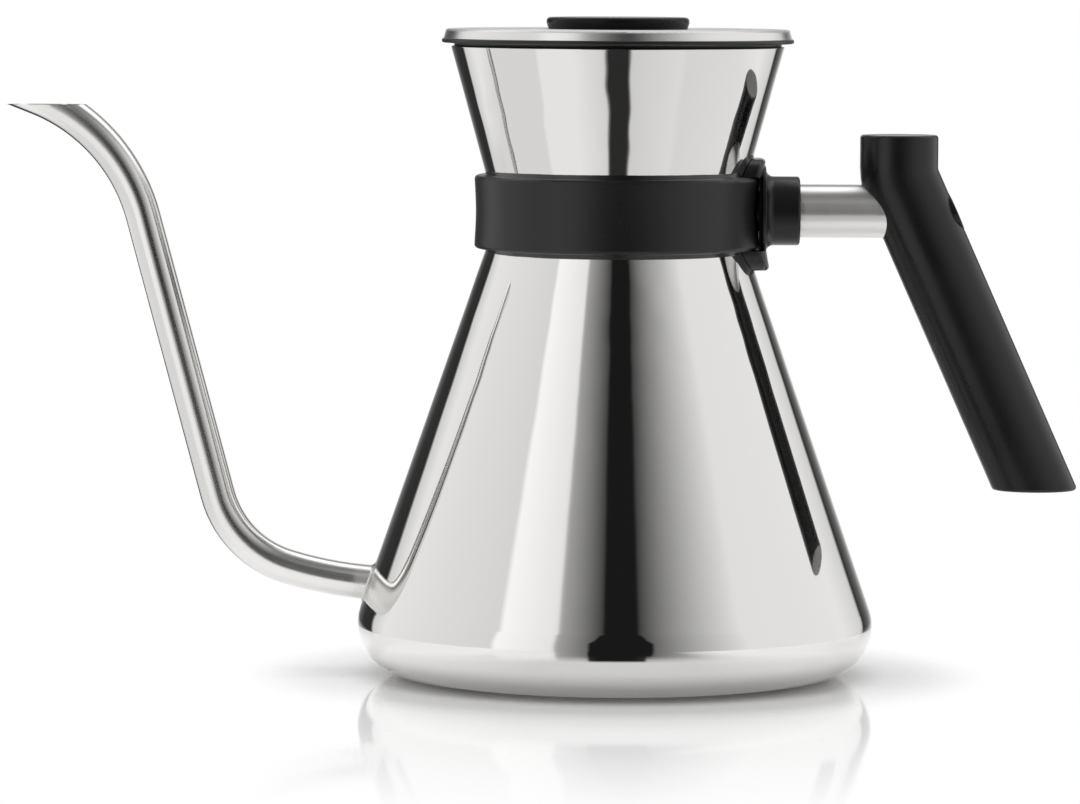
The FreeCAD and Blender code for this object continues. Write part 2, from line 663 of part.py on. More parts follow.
PIECES = [
    body_shell,
    base_pan,
    base_disc,
    spout_tube,
    weld_boss,
    collar_band,
    handle_bracket,
    stem_tube,
    grip,
    grip_plug,
    handle_bolt,
    bolt_washer,
    lid_plate,
    lid_skirt,
    lid_seal,
    lid_knob,
    knob_bush,
    knob_washer,
    knob_screw,
]


def main():
    os.makedirs("parts", exist_ok=True)
    for piece in PIECES:
        shape = piece()
        shape.exportStep(f"parts/{piece.__name__}.step")
        print(f"{piece.__name__}: {shape.Volume:.1f} mm3, {len(shape.Solids)} solid, valid {shape.isValid()}")


main()
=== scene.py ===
"""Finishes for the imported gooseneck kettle, the ground weld at its spout's root, and the stage."""

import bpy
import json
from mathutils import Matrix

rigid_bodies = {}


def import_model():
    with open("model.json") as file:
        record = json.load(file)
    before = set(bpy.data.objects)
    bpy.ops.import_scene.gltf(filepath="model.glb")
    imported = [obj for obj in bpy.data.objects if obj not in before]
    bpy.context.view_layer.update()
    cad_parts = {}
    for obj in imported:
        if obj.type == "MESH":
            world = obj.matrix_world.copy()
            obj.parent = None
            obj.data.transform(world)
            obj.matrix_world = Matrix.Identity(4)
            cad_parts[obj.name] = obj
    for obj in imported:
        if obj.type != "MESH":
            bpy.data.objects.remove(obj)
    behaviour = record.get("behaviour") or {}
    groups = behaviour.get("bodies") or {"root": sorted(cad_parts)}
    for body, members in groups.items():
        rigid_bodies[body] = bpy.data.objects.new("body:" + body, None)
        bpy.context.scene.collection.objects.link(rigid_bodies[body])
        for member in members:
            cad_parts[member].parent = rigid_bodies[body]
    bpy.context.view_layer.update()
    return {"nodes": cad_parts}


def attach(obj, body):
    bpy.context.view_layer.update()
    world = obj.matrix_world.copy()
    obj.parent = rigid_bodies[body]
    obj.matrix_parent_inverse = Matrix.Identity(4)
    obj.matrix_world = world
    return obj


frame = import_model()

import json
import math

import bmesh
import bpy
from bpy.props import FloatProperty, FloatVectorProperty, PointerProperty
from mathutils import Matrix, Vector

bl_info = {
    "name": "Gooseneck kettle",
    "version": (1, 0, 0),
    "blender": (4, 5, 0),
    "location": "3D View > Sidebar > Kettle",
    "description": "Finishes for a stovetop pouring kettle and the stage it stands on",
    "category": "Object",
}

MM = 0.001


def linear(code):
    """Turn an sRGB hex colour into the linear red, green and blue that shaders use."""
    shares = [int(code[start:start + 2], 16) / 255 for start in (1, 3, 5)]
    return [share / 12.92 if share <= 0.04045 else ((share + 0.055) / 1.055) ** 2.4 for share in shares]


def add(tree, kind, feeds=None, **settings):
    """Add a node with its settings.

    Feeds give a socket, by name or number, a value or the socket that drives it. A MapRange takes the value
    as 0, the range that it comes in as 1 and 2, and the range that it goes out in as 3 and 4. A Mix takes
    the share as 0, and two numbers as 2 and 3 or two colours as 6 and 7.
    """
    node = tree.nodes.new("ShaderNode" + kind)
    for name, value in settings.items():
        setattr(node, name, value)
    for name, value in (feeds or {}).items():
        if isinstance(value, bpy.types.NodeSocket):
            tree.links.new(value, node.inputs[name])
        else:
            node.inputs[name].default_value = value
    return node


# Sizes and colours that a user would change


class KettleColours(bpy.types.PropertyGroup):
    """Colours of the kettle's materials"""

    polished: FloatVectorProperty(
        name="Steel", description="Polished, brushed or turned steel of vessel, spout, stem and lid",
        subtype="COLOR", min=0, max=1, default=linear("#E3E2E0"),
    )
    ground: FloatVectorProperty(
        name="Ground steel", description="Ground stainless of the weld at the spout's root",
        subtype="COLOR", min=0, max=1, default=linear("#D3D2D0"),
    )
    silicone: FloatVectorProperty(
        name="Silicone", description="Black moulded silicone of the collar and the lid's seal",
        subtype="COLOR", min=0, max=1, default=linear("#131314"),
    )
    phenolic: FloatVectorProperty(
        name="Phenolic", description="Black moulded resin of the grip, its plug, the bracket and the knob",
        subtype="COLOR", min=0, max=1, default=linear("#191819"),
    )
    brass: FloatVectorProperty(
        name="Brass", description="Turned brass of the knob's bush",
        subtype="COLOR", min=0, max=1, default=linear("#C9A964"),
    )
    zinc: FloatVectorProperty(
        name="Zinc", description="Zinc plate of the bolt, the screw and their washers",
        subtype="COLOR", min=0, max=1, default=linear("#B7BBC0"),
    )


class KettleWeld(bpy.types.PropertyGroup):
    """Ground weld where the spout meets the cone"""

    root: FloatVectorProperty(
        name="Root", description="Point where the spout's centre line leaves the cone",
        subtype="TRANSLATION", unit="LENGTH", default=(-71.82 * MM, 0, 26.66 * MM),
    )
    rise: FloatProperty(
        name="Rise", description="How much the spout climbs where it leaves the cone",
        subtype="ANGLE", default=math.radians(4.8),
    )
    tube: FloatProperty(
        name="Tube radius", description="Outside radius of the spout",
        subtype="DISTANCE", unit="LENGTH", default=5.1 * MM,
    )
    cone: FloatProperty(
        name="Cone slope", description="How far the cone leans in from upright",
        subtype="ANGLE", default=math.radians(19.04),
    )
    leg_on_tube: FloatProperty(
        name="Leg on tube", description="How far the weld runs along the spout",
        subtype="DISTANCE", unit="LENGTH", default=0.9 * MM,
    )
    leg_on_cone: FloatProperty(
        name="Leg on cone", description="How far the weld runs over the cone",
        subtype="DISTANCE", unit="LENGTH", default=1.1 * MM,
    )


class KettleStage(bpy.types.PropertyGroup):
    """Camera, floor and light"""

    camera_place: FloatVectorProperty(
        name="Camera", description="Where the camera stands",
        subtype="TRANSLATION", unit="LENGTH", default=(-22.09 * MM, -1725 * MM, 208.7 * MM),
    )
    camera_dip: FloatProperty(
        name="Dip", description="How far the camera looks down",
        subtype="ANGLE", default=math.radians(4.282),
    )
    camera_roll: FloatProperty(
        name="Roll", description="How far the camera is turned about its line of sight",
        subtype="ANGLE", default=math.radians(0.27),
    )
    lens: FloatProperty(
        name="Lens", description="Focal length on a 36 mm frame, in millimetres",
        min=1, default=198.07,
    )
    room_light: FloatProperty(
        name="Room light", description="Even light from all round, where 1 shows white as white",
        min=0, default=0.4,
    )
    overhead_light: FloatProperty(
        name="Overhead light", description="Power of the soft box above, in watts",
        min=0, default=13,
    )
    floor_shine: FloatProperty(
        name="Floor shine", description="How strongly the floor mirrors the kettle at its foot",
        subtype="FACTOR", min=0, max=1, default=0.54,
    )


# Materials


def begin(name, colour, metallic, roughness):
    """Start a material. Gives it, its tree, its shader and the place on the piece in millimetres."""
    material = bpy.data.materials.new(name)
    material.use_nodes = True
    tree = material.node_tree
    shader = tree.nodes["Principled BSDF"]
    shader.inputs["Base Color"].default_value = (*colour, 1)
    shader.inputs["Metallic"].default_value = metallic
    shader.inputs["Roughness"].default_value = roughness
    coords = add(tree, "TexCoord")
    place = add(tree, "VectorMath", {0: coords.outputs["Object"], "Scale": 1 / MM}, operation="SCALE")
    return material, tree, shader, place.outputs[0]


def dress(material, *names):
    """Give CAD nodes a finish."""
    for name in names:
        frame["nodes"][name].material_slots[0].material = material


def mirror_polished_stainless(colours, weld):
    # Stainless sheet, spun and then mirror polished. Outside it shows the room almost sharply, with a
    # breath of haze in lines round the body that the buffing wheel left, slow waves in the neck where the
    # metal was drawn in most, and a softer patch round the spout where its weld was ground. Inside it is as
    # spun, satin with rings.
    material, tree, shader, place = begin("stainless_mirror_polished", colours.polished, 1, 0.04)
    # The inside is what faces the vessel's middle, 60 mm up
    normal = add(tree, "TexCoord").outputs["Normal"]
    from_middle = add(tree, "VectorMath", {0: place, 1: (0, 0, 60)}, operation="SUBTRACT")
    facing = add(tree, "VectorMath", {0: normal, 1: from_middle.outputs[0]}, operation="DOT_PRODUCT")
    inside = add(tree, "Math", {0: facing.outputs["Value"], 1: 0}, operation="LESS_THAN")
    # Buffing lines 30 mm long and 0.5 mm apart, coarser than the real ones so that they show
    along = add(tree, "VectorMath", {0: place, 1: (1 / 30, 1 / 30, 1 / 0.5)}, operation="MULTIPLY")
    lines = add(tree, "TexNoise", {"Vector": along.outputs[0], "Scale": 1, "Detail": 2})
    # Patches of haze about 35 mm across, as a cloth leaves
    patches = add(tree, "TexNoise", {"Vector": place, "Scale": 1 / 35, "Detail": 3})
    haze = add(tree, "Math", {0: lines.outputs["Fac"], 1: patches.outputs["Fac"]}, operation="MULTIPLY")
    polish = add(tree, "MapRange", {0: haze.outputs[0], 1: 0.12, 2: 0.42, 3: 0.02, 4: 0.06})
    spun = add(tree, "MapRange", {0: lines.outputs["Fac"], 1: 0.3, 2: 0.7, 3: 0.22, 4: 0.34})
    # The ground patch ends 7 to 11 mm from the spout's root
    root = add(tree, "VectorMath", {0: place, 1: Vector(weld.root) / MM}, operation="DISTANCE")
    patch = {0: root.outputs["Value"], 1: 7, 2: 11, 3: 0.09, 4: 0}
    ground = add(tree, "MapRange", patch, interpolation_type="SMOOTHSTEP")
    outer = add(tree, "Math", {0: polish.outputs[0], 1: ground.outputs[0]})
    rough = add(tree, "Mix", {0: inside.outputs[0], 2: outer.outputs[0], 3: spun.outputs[0]})
    tree.links.new(rough.outputs[0], shader.inputs["Roughness"])
    # The wall is turned about the upright axis, so it never faces sideways round it. Taking that share out
    # of the mesh's normal keeps its facets out of the reflections.
    level = add(tree, "VectorMath", {0: place, 1: (1, 1, 0)}, operation="MULTIPLY")
    spoke = add(tree, "VectorMath", {0: level.outputs[0]}, operation="NORMALIZE").outputs[0]
    slope = add(tree, "VectorMath", {0: normal, 1: spoke}, operation="DOT_PRODUCT")
    outward = add(tree, "VectorMath", {0: spoke, "Scale": slope.outputs["Value"]}, operation="SCALE")
    upright = add(tree, "VectorMath", {0: normal, 1: (0, 0, 1)}, operation="MULTIPLY")
    turned = add(tree, "VectorMath", {0: outward.outputs[0], 1: upright.outputs[0]})
    spaces = {"vector_type": "NORMAL", "convert_from": "OBJECT", "convert_to": "WORLD"}
    smooth = add(tree, "VectorTransform", {0: turned.outputs[0]}, **spaces)
    # Waves about 16 mm long, which grow from 70 to 120 mm up and are strongest at the waist and in the neck
    height = add(tree, "SeparateXYZ", {0: place})
    drawn_in = add(tree, "MapRange", {0: height.outputs["Z"], 1: 70, 2: 120, 3: 0.12, 4: 1})
    swells = add(tree, "TexNoise", {"Vector": place, "Scale": 1 / 16, "Detail": 1})
    waves = {"Height": swells.outputs["Fac"], "Strength": drawn_in.outputs[0], "Distance": 0.22 * MM}
    wavy = add(tree, "Bump", {**waves, "Normal": smooth.outputs[0]})
    depth = add(tree, "Math", {0: inside.outputs[0], 1: 0.2, 2: 0.01}, operation="MULTIPLY_ADD")
    relief = {"Height": lines.outputs["Fac"], "Strength": depth.outputs[0], "Distance": 0.02 * MM}
    buffed = add(tree, "Bump", {**relief, "Normal": wavy.outputs[0]})
    tree.links.new(buffed.outputs[0], shader.inputs["Normal"])
    return material


def polished_stainless_tube(colours, weld):
    # Drawn stainless tube, bent, then polished in fine rings round its girth: bright lines stay crisp
    # across the tube and are drawn out along it. Faint draw marks follow the bends, and it is duller beside
    # the ground weld.
    material, tree, shader, place = begin("stainless_tube_polished", colours.polished, 1, 0.2)
    shader.inputs["Anisotropic"].default_value = 0.9
    # The tube lies in one plane, so its line runs square to the surface and to that plane's own normal
    normal = add(tree, "NewGeometry").outputs["Normal"]
    line = add(tree, "VectorMath", {0: normal, 1: (0, 1, 0)}, operation="CROSS_PRODUCT")
    tree.links.new(line.outputs[0], shader.inputs["Tangent"])
    # Draw marks 60 mm long and 0.4 mm wide, coarser than the real ones so that they show
    across = add(tree, "VectorMath", {0: place, 1: (1 / 60, 1 / 0.4, 1 / 60)}, operation="MULTIPLY")
    marks = add(tree, "TexNoise", {"Vector": across.outputs[0], "Scale": 1, "Detail": 2})
    polish = add(tree, "MapRange", {0: marks.outputs["Fac"], 1: 0.3, 2: 0.7, 3: 0.19, 4: 0.23})
    # The ground patch ends 5.5 to 7.5 mm from the spout's root
    root = add(tree, "VectorMath", {0: place, 1: Vector(weld.root) / MM}, operation="DISTANCE")
    patch = {0: root.outputs["Value"], 1: 5.5, 2: 7.5, 3: 0.14, 4: 0}
    ground = add(tree, "MapRange", patch, interpolation_type="SMOOTHSTEP")
    rough = add(tree, "Math", {0: polish.outputs[0], 1: ground.outputs[0]})
    tree.links.new(rough.outputs[0], shader.inputs["Roughness"])
    relief = {"Height": marks.outputs["Fac"], "Strength": 0.01, "Distance": 0.02 * MM}
    tree.links.new(add(tree, "Bump", relief).outputs[0], shader.inputs["Normal"])
    return material


def ground_weld_stainless(colours):
    # Weld metal ground with a fine stone: satin and a little cloudy, with short scratches.
    material, tree, shader, place = begin("stainless_ground_weld", colours.ground, 1, 0.34)
    # Scratches 3 mm long and 0.25 mm apart
    scored = add(tree, "VectorMath", {0: place, 1: (1 / 3, 1 / 0.25, 1 / 0.6)}, operation="MULTIPLY")
    scratches = add(tree, "TexNoise", {"Vector": scored.outputs[0], "Scale": 1, "Detail": 3})
    rough = add(tree, "MapRange", {0: scratches.outputs["Fac"], 1: 0.3, 2: 0.7, 3: 0.26, 4: 0.44})
    tree.links.new(rough.outputs[0], shader.inputs["Roughness"])
    relief = {"Height": scratches.outputs["Fac"], "Strength": 0.25, "Distance": 0.05 * MM}
    tree.links.new(add(tree, "Bump", relief).outputs[0], shader.inputs["Normal"])
    return material


def brushed_stainless_stem(colours):
    # Stainless tube turned against a belt: fine rings round it drag every reflection out along it.
    material, tree, shader, place = begin("stainless_stem_brushed", colours.polished, 1, 0.3)
    shader.inputs["Anisotropic"].default_value = 0.85
    shader.inputs["Anisotropic Rotation"].default_value = 0.25
    round_tube = add(tree, "Tangent", direction_type="RADIAL", axis="X")
    tree.links.new(round_tube.outputs[0], shader.inputs["Tangent"])
    # Rings 0.3 mm apart, coarser than a real 240 grit belt leaves so that they show
    ringed = add(tree, "VectorMath", {0: place, 1: (1 / 0.3, 1 / 20, 1 / 20)}, operation="MULTIPLY")
    rings = add(tree, "TexNoise", {"Vector": ringed.outputs[0], "Scale": 1, "Detail": 3})
    rough = add(tree, "MapRange", {0: rings.outputs["Fac"], 1: 0.3, 2: 0.7, 3: 0.28, 4: 0.34})
    tree.links.new(rough.outputs[0], shader.inputs["Roughness"])
    relief = {"Height": rings.outputs["Fac"], "Strength": 0.025, "Distance": 0.02 * MM}
    tree.links.new(add(tree, "Bump", relief).outputs[0], shader.inputs["Normal"])
    return material


def turned_stainless(colours):
    # Stainless plate faced on a lathe: satin, with rings round the middle that give a soft fan of light.
    material, tree, shader, place = begin("stainless_turned_satin", colours.polished, 1, 0.22)
    flat = add(tree, "VectorMath", {0: place, 1: (1, 1, 0)}, operation="MULTIPLY")
    radius = add(tree, "VectorMath", {0: flat.outputs[0]}, operation="LENGTH")
    height = add(tree, "SeparateXYZ", {0: place})
    ways = add(tree, "CombineXYZ", {0: radius.outputs["Value"], 2: height.outputs["Z"]})
    # Rings 0.4 mm apart, a tool mark wider than the real one so that it shows
    rings = add(tree, "TexNoise", {"Vector": ways.outputs[0], "Scale": 1 / 0.4, "Detail": 3})
    turned = add(tree, "MapRange", {0: rings.outputs["Fac"], 1: 0.3, 2: 0.7, 3: 0.2, 4: 0.28})
    # The flat face keeps its rings, which spread light away from the middle. The rim, where the normal's
    # rise falls from 0.6 to 0.35, was rubbed down after.
    upward = add(tree, "SeparateXYZ", {0: add(tree, "TexCoord").outputs["Normal"]})
    face = {0: upward.outputs["Z"], 1: 0.35, 2: 0.6}
    coarse = add(tree, "MapRange", {**face, 3: 1, 4: 2.1})
    rough = add(tree, "Math", {0: turned.outputs[0], 1: coarse.outputs[0]}, operation="MULTIPLY")
    tree.links.new(rough.outputs[0], shader.inputs["Roughness"])
    ringed = add(tree, "MapRange", {**face, 3: 0, 4: 0.7})
    tree.links.new(ringed.outputs[0], shader.inputs["Anisotropic"])
    outward = add(tree, "VectorMath", {0: flat.outputs[0]}, operation="NORMALIZE")
    tree.links.new(outward.outputs[0], shader.inputs["Tangent"])
    relief = {"Height": rings.outputs["Fac"], "Strength": 0.04, "Distance": 0.02 * MM}
    tree.links.new(add(tree, "Bump", relief).outputs[0], shader.inputs["Normal"])
    return material


def moulded_silicone(colours):
    # Black silicone rubber from an etched mould: a dry, matt face with a fine tooth and a trace of bloom.
    material, tree, shader, place = begin("silicone_moulded_black", colours.silicone, 0, 0.45)
    shader.inputs["IOR"].default_value = 1.41
    shader.inputs["Specular IOR Level"].default_value = 0.58
    # Bloom in clouds about 9 mm across
    clouds = add(tree, "TexNoise", {"Vector": place, "Scale": 1 / 9, "Detail": 4})
    bloom = add(tree, "MapRange", {0: clouds.outputs["Fac"], 1: 0.35, 2: 0.75, 3: 1, 4: 1.35})
    shade = {0: tuple(colours.silicone), "Scale": bloom.outputs[0]}
    tint = add(tree, "VectorMath", shade, operation="SCALE")
    tree.links.new(tint.outputs[0], shader.inputs["Base Color"])
    # Tooth of the etched mould, 0.4 mm
    tooth = add(tree, "TexNoise", {"Vector": place, "Scale": 1 / 0.4, "Detail": 2})
    rough = add(tree, "MapRange", {0: tooth.outputs["Fac"], 1: 0.3, 2: 0.7, 3: 0.32, 4: 0.42})
    tree.links.new(rough.outputs[0], shader.inputs["Roughness"])
    relief = {"Height": tooth.outputs["Fac"], "Strength": 0.12, "Distance": 0.06 * MM}
    tree.links.new(add(tree, "Bump", relief).outputs[0], shader.inputs["Normal"])
    return material


def moulded_phenolic(colours, name, gloss):
    # Black phenolic resin pressed in a steel mould: satin, with a slight orange peel and faint flow clouds
    # in its gloss. The knob's mould is plainer, so it shines less.
    material, tree, shader, place = begin(name, colours.phenolic, 0, 0.28)
    shader.inputs["Specular IOR Level"].default_value = gloss
    # Peel 0.9 mm across, and flow clouds 14 mm across
    peel = add(tree, "TexNoise", {"Vector": place, "Scale": 1 / 0.9, "Detail": 2})
    clouds = add(tree, "TexNoise", {"Vector": place, "Scale": 1 / 14, "Detail": 3})
    rough = add(tree, "MapRange", {0: clouds.outputs["Fac"], 1: 0.3, 2: 0.7, 3: 0.24, 4: 0.33})
    tree.links.new(rough.outputs[0], shader.inputs["Roughness"])
    relief = {"Height": peel.outputs["Fac"], "Strength": 0.1, "Distance": 0.05 * MM}
    tree.links.new(add(tree, "Bump", relief).outputs[0], shader.inputs["Normal"])
    return material


def turned_brass(colours):
    # Brass bar turned on a lathe: warm yellow with bright rings and a little tarnish between them.
    material, tree, shader, place = begin("brass_turned", colours.brass, 1, 0.25)
    # Tool rings 0.3 mm apart
    ringed = add(tree, "VectorMath", {0: place, 1: (1 / 6, 1 / 6, 1 / 0.3)}, operation="MULTIPLY")
    rings = add(tree, "TexNoise", {"Vector": ringed.outputs[0], "Scale": 1, "Detail": 3})
    rough = add(tree, "MapRange", {0: rings.outputs["Fac"], 1: 0.3, 2: 0.7, 3: 0.18, 4: 0.4})
    tree.links.new(rough.outputs[0], shader.inputs["Roughness"])
    return material


def zinc_plated_steel(colours):
    # Steel with bright zinc plate: bluish grey, a little grainy, duller in patches.
    material, tree, shader, place = begin("steel_zinc_plated", colours.zinc, 1, 0.34)
    # Plating grain 0.5 mm, and dull patches 4 mm across
    grain = add(tree, "TexNoise", {"Vector": place, "Scale": 1 / 0.5, "Detail": 3})
    patches = add(tree, "TexNoise", {"Vector": place, "Scale": 1 / 4, "Detail": 2})
    rough = add(tree, "MapRange", {0: patches.outputs["Fac"], 1: 0.3, 2: 0.7, 3: 0.26, 4: 0.46})
    tree.links.new(rough.outputs[0], shader.inputs["Roughness"])
    relief = {"Height": grain.outputs["Fac"], "Strength": 0.1, "Distance": 0.03 * MM}
    tree.links.new(add(tree, "Bump", relief).outputs[0], shader.inputs["Normal"])
    return material


# Pieces


class KETTLE_OT_vessel(bpy.types.Operator):
    """Polish the body and the base pan, and turn the disc under it and the handle's boss"""

    bl_idname = "kettle.vessel"
    bl_label = "Vessel"

    def execute(self, context):
        colours = context.scene.kettle_colours
        dress(mirror_polished_stainless(colours, context.scene.kettle_weld), "body_shell", "base_pan")
        dress(turned_stainless(colours), "base_disc", "weld_boss")
        return {"FINISHED"}


class KETTLE_OT_spout(bpy.types.Operator):
    """Polish the spout and lay the ground weld round its root"""

    bl_idname = "kettle.spout"
    bl_label = "Spout"

    def execute(self, context):
        colours = context.scene.kettle_colours
        weld = context.scene.kettle_weld
        dress(polished_stainless_tube(colours, weld), "spout_tube")
        piece = lay_weld(weld)
        piece.data.materials.append(ground_weld_stainless(colours))
        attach(piece, "kettle")
        return {"FINISHED"}


# How far the weld's edges and its back are sunk in the metal
WELD_EDGE_SINK = 0.05 * MM
WELD_BACK_SINK = 0.25 * MM
# How far the stone left the weld's face out of the corner, where 0.5 is a flat face
WELD_FILL = 0.12


def lay_weld(weld, steps=96, facets=9, slides=12):
    """Ring of weld between tube and cone, its face ground hollow and its back sunk in the metal."""
    root = Vector(weld.root)
    way = Vector((-math.cos(weld.rise), 0, math.sin(weld.rise)))
    side = Vector((0, 1, 0))
    over = side.cross(way)
    cone_radius = -root.x

    def outside(point):
        return math.hypot(point.x, point.y) - cone_radius + (point.z - root.z) * math.tan(weld.cone)

    def cone_normal(point):
        spread = Vector((point.x, point.y, 0)).normalized()
        return spread * math.cos(weld.cone) + Vector((0, 0, math.sin(weld.cone)))

    mesh = bmesh.new()
    rings = []
    for step in range(steps):
        turn = 2 * math.pi * step / steps
        out = side * math.cos(turn) + over * math.sin(turn)
        # Slide along the tube to the cone, each time by a little less than the gap so as not to overshoot
        corner = root + out * weld.tube
        for _ in range(slides):
            corner -= way * outside(corner) * 0.9
        normal = cone_normal(corner)
        spread = (out - normal * out.dot(normal)).normalized()
        foot = corner + spread * weld.leg_on_cone
        foot -= cone_normal(foot) * outside(foot) * math.cos(weld.cone)
        toe = corner + way * weld.leg_on_tube
        pull = corner + (foot + toe - corner * 2) * WELD_FILL
        section = []
        for facet in range(facets):
            share = facet / (facets - 1)
            section.append(toe * (1 - share) ** 2 + pull * 2 * share * (1 - share) + foot * share ** 2)
        section[0] -= out * WELD_EDGE_SINK
        section[-1] -= normal * WELD_EDGE_SINK
        section.append(corner - (normal + out) * WELD_BACK_SINK)
        rings.append([mesh.verts.new(point) for point in section])
    for near, far in zip(rings, rings[1:] + rings[:1]):
        for index in range(len(near)):
            face = mesh.faces.new((near[index - 1], near[index], far[index], far[index - 1]))
            face.smooth = True
    bmesh.ops.recalc_face_normals(mesh, faces=mesh.faces)
    return place_mesh("spout_weld", mesh)


def place_mesh(name, mesh):
    """Turn a finished bmesh into an object in the scene."""
    data = bpy.data.meshes.new(name)
    mesh.to_mesh(data)
    mesh.free()
    piece = bpy.data.objects.new(name, data)
    bpy.context.scene.collection.objects.link(piece)
    return piece


class KETTLE_OT_collar(bpy.types.Operator):
    """Give the waist's collar and the lid's seal their matt rubber face"""

    bl_idname = "kettle.collar"
    bl_label = "Collar and seal"

    def execute(self, context):
        dress(moulded_silicone(context.scene.kettle_colours), "collar_band", "lid_seal")
        return {"FINISHED"}


class KETTLE_OT_handle(bpy.types.Operator):
    """Finish the bracket, stem and grip, and plate the bolt, the knob's screw and their washers"""

    bl_idname = "kettle.handle"
    bl_label = "Handle and fasteners"

    def execute(self, context):
        colours = context.scene.kettle_colours
        resin = moulded_phenolic(colours, "phenolic_moulded_black", gloss=0.34)
        dress(resin, "handle_bracket", "grip", "grip_plug")
        dress(brushed_stainless_stem(colours), "stem_tube")
        dress(zinc_plated_steel(colours), "handle_bolt", "bolt_washer", "knob_screw", "knob_washer")
        return {"FINISHED"}


class KETTLE_OT_lid(bpy.types.Operator):
    """Turn the lid's plate and skirt, and finish its knob and bush"""

    bl_idname = "kettle.lid"
    bl_label = "Lid"

    def execute(self, context):
        colours = context.scene.kettle_colours
        dress(turned_stainless(colours), "lid_plate", "lid_skirt")
        dress(moulded_phenolic(colours, "phenolic_moulded_black_knob", gloss=0.12), "lid_knob")
        dress(turned_brass(colours), "knob_bush")
        return {"FINISHED"}


# Stage

# The room that the polished steel shows, as (degrees, brightness) stops. The walls go round from the
# camera, leftwards negative, once for what lies above the horizon and once for what lies below it. The
# middle is a black flag in front of the camera, and the white backdrop shows past both ends. The ceiling
# goes from the front over the top to the back and holds a long soft box behind the zenith.
WALLS_ABOVE = (
    (-168, 1), (-165, 0.35), (-157, 0.12), (-148, 0.04), (-134, 0.03), (-132.5, 0.76), (-120, 1),
    (-54.5, 0.85), (-52.5, 1.2), (-27, 1), (-25, 0.45), (-6, 0.06), (-5, 0.01), (9.5, 0.01),
    (10.5, 0.06), (53, 0.85), (57.5, 0.95), (118, 1), (137.5, 0.78), (140.5, 0.03), (145.5, 0.09),
    (150, 0.14), (155, 0.29), (160, 0.55), (163.5, 1),
)
WALLS_BELOW = (
    (-168, 1), (-165, 0.35), (-157, 0.05), (-133.5, 0.03), (-132, 0.55), (-113, 0.85), (-62, 0.85),
    (-60, 1), (-34, 1), (-10, 0.82), (-8, 0.03), (8, 0.03), (10, 0.78), (45.5, 0.9), (50.5, 0.85),
    (122, 0.95), (133.5, 0.8), (139, 0.06), (150, 0.06), (163, 0.3), (168, 1),
)
CEILING = (
    (45, 0.2), (75, 0.22), (86, 0.42), (94, 0.9), (102, 1.7), (121, 1.7), (130, 0.7), (138, 0.36),
    (170, 0.36),
)
FLAG_BLACK = (0.012, 0.012, 0.012, 1)
OVER_FLAG_GREY = (0.5, 0.5, 0.5, 1)
FAR_FLOOR_WHITE = (1.15, 1.15, 1.15, 1)
ROOM_RADIUS = 0.7
ROOM_MIDDLE = (0, 0, 0.1)
TABLE_RADIUS = 4
# The table lies this far under the kettle, so that the two faces never share a plane
TABLE_DROP = 0.1 * MM
SOFT_BOX_SIZE = 1.4
SOFT_BOX_PLACE = (0, -0.2, 1.5)
# Sides of the round table and of the round room
SIDES = 96
FILM_WIDTH_MM = 36


def ring_of_light(tree, angle, stops):
    """Colour ramp over an angle in radians. The first and last stops run on to the half turns."""
    share = add(tree, "MapRange", {0: angle, 1: -math.pi, 2: math.pi})
    ramp = add(tree, "ValToRGB", {0: share.outputs[0]})
    elements = ramp.color_ramp.elements
    elements.remove(elements[1])
    first, *others = stops
    elements[0].position = first[0] / 360 + 0.5
    elements[0].color = (first[1], first[1], first[1], 1)
    for degrees, level in others:
        elements.new(degrees / 360 + 0.5).color = (level, level, level, 1)
    return ramp.outputs["Color"]


